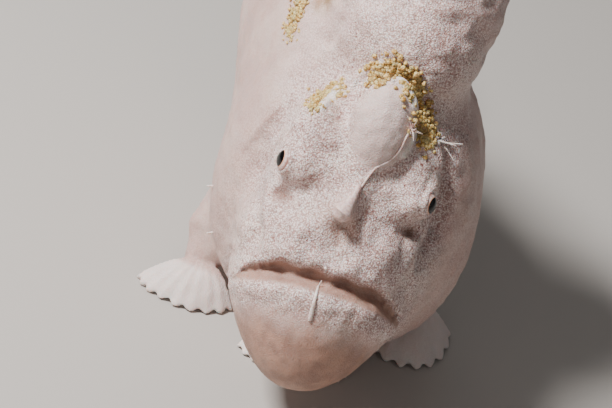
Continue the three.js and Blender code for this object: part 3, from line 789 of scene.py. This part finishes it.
def tube(points, radii, sides=10):
    """A closed tube with round ends along a line of points."""
    points, radii = np.asarray(points, float), np.asarray(radii, float)
    ways = np.gradient(points, axis=0)
    ways /= np.linalg.norm(ways, axis=1, keepdims=True)
    side = np.cross(ways, [0.31, 0.22, 0.93])
    side /= np.linalg.norm(side, axis=1, keepdims=True)
    other = np.cross(ways, side)

    def end_ring(at, way, k):
        return points[at] + way * radii[at] * k, radii[at] * math.sqrt(1 - k * k), side[at], other[at]

    rings = [end_ring(0, -ways[0], k) for k in (0.9, 0.5)]
    rings += list(zip(points, radii, side, other))
    rings += [end_ring(-1, ways[-1], k) for k in (0.5, 0.9)]
    turn = np.arange(sides)[:, None] * 2 * math.pi / sides
    verts = np.concatenate([c + r * (np.cos(turn) * a + np.sin(turn) * b) for c, r, a, b in rings])
    faces = []
    for i in range(len(rings) - 1):
        for k in range(sides):
            n = (k + 1) % sides
            faces.append((i * sides + k, i * sides + n, (i + 1) * sides + n, (i + 1) * sides + k))
    end = (len(rings) - 1) * sides
    faces.append(tuple(range(sides - 1, -1, -1)))
    faces.append(tuple(end + k for k in range(sides)))
    return verts, faces


def radii_along(count, shares, radii):
    """The radii at evenly spread points of a line, from those at some shares of its length."""
    return np.interp(np.linspace(0, 1, count), shares, radii)


def curve_points(points, count):
    """A smooth line through some points (Catmull-Rom)."""
    p = np.asarray(points, float)
    p = np.concatenate([[2 * p[0] - p[1]], p, [2 * p[-1] - p[-2]]])
    out = []
    for share in np.linspace(0, len(p) - 3 - 1e-9, count):
        i, t = int(share) + 1, share % 1
        a, b, c, d = p[i - 1], p[i], p[i + 1], p[i + 2]
        bend = (2 * a - 5 * b + 4 * c - d) * t * t + (3 * b - a - 3 * c + d) * t ** 3
        out.append(0.5 * (2 * b + (c - a) * t + bend))
    return np.array(out)


def merged(name, pieces, material):
    """One object of many closed pieces, each given by its points and faces."""
    verts, faces, start = [], [], 0
    for v, f in pieces:
        verts.append(v)
        faces += [tuple(i + start for i in face) for face in f]
        start += len(v)
    obj = mesh_object(name, np.concatenate(verts), faces)
    shade_smooth(obj.data)
    obj.data.materials.append(material)
    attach(obj, "root")
    return obj


def grain_shape():
    """The corners and triangles of a ball with a radius of 1."""
    mesh = bpy.data.meshes.new("ball")
    shape = bmesh.new()
    bmesh.ops.create_icosphere(shape, subdivisions=2, radius=1)
    shape.to_mesh(mesh)
    shape.free()
    corners = np.array([v.co for v in mesh.vertices])
    triangles = [tuple(p.vertices) for p in mesh.polygons]
    bpy.data.meshes.remove(mesh)
    return corners, triangles


BALL = grain_shape()


def grains_along(rng, line, width, count, sizes, stand):
    """Small irregular grains strewn about a line of picture places."""
    corners, triangles = BALL
    line = curve_points(line, 40)
    places = line[rng.integers(0, len(line), count)] + rng.normal(0, width / 2, (count, 2))
    roots = seen_skin(places)
    pieces = []
    for root, out in zip(roots, outwards(roots)):
        size = rng.uniform(*sizes)
        stretch = rng.uniform(0.75, 1.25, 3)
        bumps = 1 + 0.22 * np.sin(corners * rng.uniform(2, 5, 3) + rng.uniform(0, 6, 3)).sum(1) / 1.7
        middle = root + out * size * stand * rng.uniform(0.2, 1)
        pieces.append((middle + corners * stretch * bumps[:, None] * size, triangles))
    return pieces


def on_face(places, level):
    """A line on the face's skin, through places given across and up the face."""
    return pulled(np.array([face(u, v, 6) for u, v in places]), level)


def tuft(rng, tip):
    """Short threads that spread from the rod's tip."""
    pieces = []
    for _ in range(16):
        way = np.array([0.5, -0.35, 0.3]) + rng.normal(0, 0.55, 3)
        way /= np.linalg.norm(way)
        sway = rng.normal(0, 0.35, 3)
        long = rng.uniform(0.9, 2.3)
        t = np.linspace(0, 1, 9)[:, None]
        thread = tip + way * long * t + sway * t * t * long * 0.8
        pieces.append(tube(thread, np.linspace(0.2, 0.07, 9), 6))
    return pieces


# The lure's rod and bulb: places across and up the face, shares of the length, and the radii there.
ROD_PATH = [(0.6, -3.2), (1.4, -0.6), (3.0, 1.0), (5.2, 2.6), (7.0, 5.2), (7.8, 8.2), (9.0, 10.4)]
ROD_RADII = [0, 0.1, 0.9, 1], [0.18, 0.18, 0.2, 0.28]
BULB_PATH = [(0.3, -0.6), (-0.5, -2.8), (-1.3, -4.6), (-1.8, -5.9)]
BULB_RADII = [0, 0.35, 0.62, 0.85, 1], [0.5, 0.85, 1.4, 1.78, 1.6]

# Grains: a line in the picture, its width, their number, their least and largest radius, and how far they
# stand off.
GOLD_GRAINS = [
    ([(314, 108), (324, 96), (344, 88)], 9, 170, (0.2, 0.5), 0.5),
    ([(372, 80), (384, 68), (398, 70), (412, 84), (420, 100)], 12, 330, (0.22, 0.56), 0.6),
    ([(421, 112), (424, 128), (428, 146)], 11, 230, (0.2, 0.52), 0.6),
    ([(303, -6), (296, 16), (289, 38)], 7, 220, (0.16, 0.36), 0.1),
]
WHITE_GRAINS = [
    ([(344, 88), (366, 82), (384, 74), (412, 92)], 5, 70, (0.12, 0.26), 0.3),
    ([(430, 130), (440, 140), (447, 144)], 5, 50, (0.14, 0.3), 0.4),
]

# Soft threads: a place in the picture, how far they lean across and down the face, their length and radius.
THREADS = [
    ((325, 269), 0.2, -0.3, 0.9, 0.2),
    ((318, 287), 0.2, -0.5, 0.9, 0.14),
    ((437, 140), 0.8, 0.2, 1.9, 0.16),
    ((445, 146), 0.5, 0.9, 1.6, 0.13),
    ((213, 186), -0.6, 0.2, 0.7, 0.22),
    ((214, 232), -0.6, 0.3, 0.8, 0.2),
    ((448, 143), 0.9, -0.1, 1.3, 0.12),
]

# The strand that hangs over the lower lip: places in the picture, and its radii.
STRAND_PATH = [(318, 287), (316, 295), (314, 303), (312, 311), (310, 319)]
STRAND_RADII = [0, 0.5, 0.8, 1], [0.2, 0.3, 0.42, 0.34]


def thread(place, sideways, down, long, radius):
    """A soft thread that stands off the skin."""
    root = seen_skin([place])
    out = outwards(root)[0]
    way = np.array([sideways, -FACE_COS * down, -FACE_SIN * down])
    t = np.linspace(0, 1, 12)[:, None]
    line = root[0] - out * 0.2 + (out * 0.8 + way) * long * t + way * long * 0.5 * t * t
    return tube(line, radii_along(12, [0, 0.2, 1], [radius * 1.5, radius, radius * 0.6]), 8)


rng = np.random.default_rng(7)
rod = curve_points(on_face(ROD_PATH, 0.04), 60)
bulb = curve_points(on_face(BULB_PATH, 0.35), 24)
lure_pieces = [tube(rod, radii_along(60, *ROD_RADII)), tube(bulb, radii_along(24, *BULB_RADII), 28)]
lure_pieces += tuft(rng, rod[-1])
lure = merged("lure", lure_pieces, LURE_FLESH)
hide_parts("illicium")

gold_pieces = [grain for row in GOLD_GRAINS for grain in grains_along(rng, *row)]
growth = merged("golden_growth", gold_pieces, GOLD)

white_pieces = [grain for row in WHITE_GRAINS for grain in grains_along(rng, *row)]
white_pieces += [thread(*row) for row in THREADS]
strand = curve_points(pulled(seen_skin(STRAND_PATH), 0.16), 30)
white_pieces.append(tube(strand, radii_along(30, *STRAND_RADII), 12))
cirri = merged("cirri", white_pieces, WHITE_FLESH)


# Eyes: a ball with a clear bulge, its pattern set by the angle from the line of sight.

def eye_material(name, gaze):
    m = Nodes(name)
    way = m.add("Attribute", attribute_name="way").outputs["Vector"]
    along = m.add("VectorMath", {0: way, 1: tuple(gaze)}, operation="DOT_PRODUCT").outputs["Value"]
    angle = m.times(m.math("ARCCOSINE", along), 180 / math.pi)
    streaks = m.add("TexNoise", {"Vector": way, "Scale": 9.0, "Detail": 4.0}).outputs["Fac"]
    iris = m.mix(m.step(streaks, 0.35, 0.65), colour(196, 160, 150), colour(232, 208, 198))
    iris = m.mix(m.step(angle, 40, 52), iris, colour(150, 104, 92))
    ring = m.mix(m.step(angle, 34, 37), colour(206, 150, 120), iris)
    shade = m.mix(m.step(angle, 31.5, 33.5), colour(6, 5, 6), ring)
    m.shade(Base_Color=shade, Roughness=0.22, Specular_IOR_Level=0.25)
    m.shade(Coat_Weight=0.25, Coat_Roughness=0.05)
    return m.material


for word, side, gaze in (("left", 1, LEFT_GAZE), ("right", -1, GAZE * np.array([-1, 1, 1]))):
    mirror = np.array([side, 1, 1])
    gaze_unit = gaze / np.linalg.norm(gaze)
    bpy.ops.mesh.primitive_uv_sphere_add(segments=64, ring_count=40, radius=1)
    eye = bpy.context.object
    eye.name = "eyeball_" + word
    way = vertex_numbers(eye.data, "co")
    bulge = 1 + 0.05 * smooth(way @ gaze_unit, math.cos(math.radians(44)), 1)
    set_points(eye.data, (EYE + EYE_OUT * GAZE) * mirror + way * EYE_RADIUS * bulge[:, None])
    attribute = eye.data.attributes.new("way", "FLOAT_VECTOR", "POINT")
    attribute.data.foreach_set("vector", way.astype(np.float32).ravel())
    shade_smooth(eye.data)
    eye.data.materials.append(eye_material("eye_" + word, gaze_unit))
    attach(eye, "root")
    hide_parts("eye_" + word)


# The floor, the lights and the camera.

# Each light: the way to it from the fish, its power in watts and its size in metres.
LIGHTS = {
    "key": ((-0.72, -0.22, 0.95), 6.8, 0.12),
    "front": ((-0.5, -1.0, 0.5), 0.35, 0.4),
    "fill": ((0.95, -0.35, 0.45), 0.18, 0.5),
    "rim": ((-0.3, 0.9, 0.7), 0.35, 0.35),
}
LIGHT_DISTANCE = 0.55
SENSOR_WIDTH = 36


def studio():
    bpy.ops.mesh.primitive_plane_add(size=4.0, location=(0, 0, -0.0001))
    floor = bpy.context.object
    floor.name = "floor"
    m = Nodes("floor")
    m.shade(Base_Color=(0.46, 0.425, 0.39, 1), Roughness=0.8)
    floor.data.materials.append(m.material)
    middle = Vector((0, 0, 0.04))
    for name, (way, power, size) in LIGHTS.items():
        light = bpy.data.lights.new(name, "AREA")
        light.energy, light.size = power, size
        lamp = bpy.data.objects.new(name, light)
        bpy.context.scene.collection.objects.link(lamp)
        lamp.location = middle + Vector(way).normalized() * LIGHT_DISTANCE
        lamp.rotation_mode = "QUATERNION"
        lamp.rotation_quaternion = Vector(way).to_track_quat("Z", "Y")
    world = bpy.data.worlds.new("studio")
    world.use_nodes = True
    background = world.node_tree.nodes["Background"]
    background.inputs["Color"].default_value = (0.86, 0.88, 0.92, 1)
    background.inputs["Strength"].default_value = 0.1
    bpy.context.scene.world = world


def photo_camera():
    data = bpy.data.cameras.new("camera")
    data.sensor_width = SENSOR_WIDTH
    data.lens = SENSOR_WIDTH * DISTANCE / (WIDTH * SCALE)
    data.clip_start, data.clip_end = 0.01, 10
    camera = bpy.data.objects.new("camera", data)
    bpy.context.scene.collection.objects.link(camera)
    place = Matrix((VIEW_X, VIEW_Y, BACK)).transposed().to_4x4()
    place.translation = Vector((VIEW_FROM + OFFSET) * MM)
    camera.matrix_world = place
    bpy.context.scene.camera = camera


studio()
photo_camera()
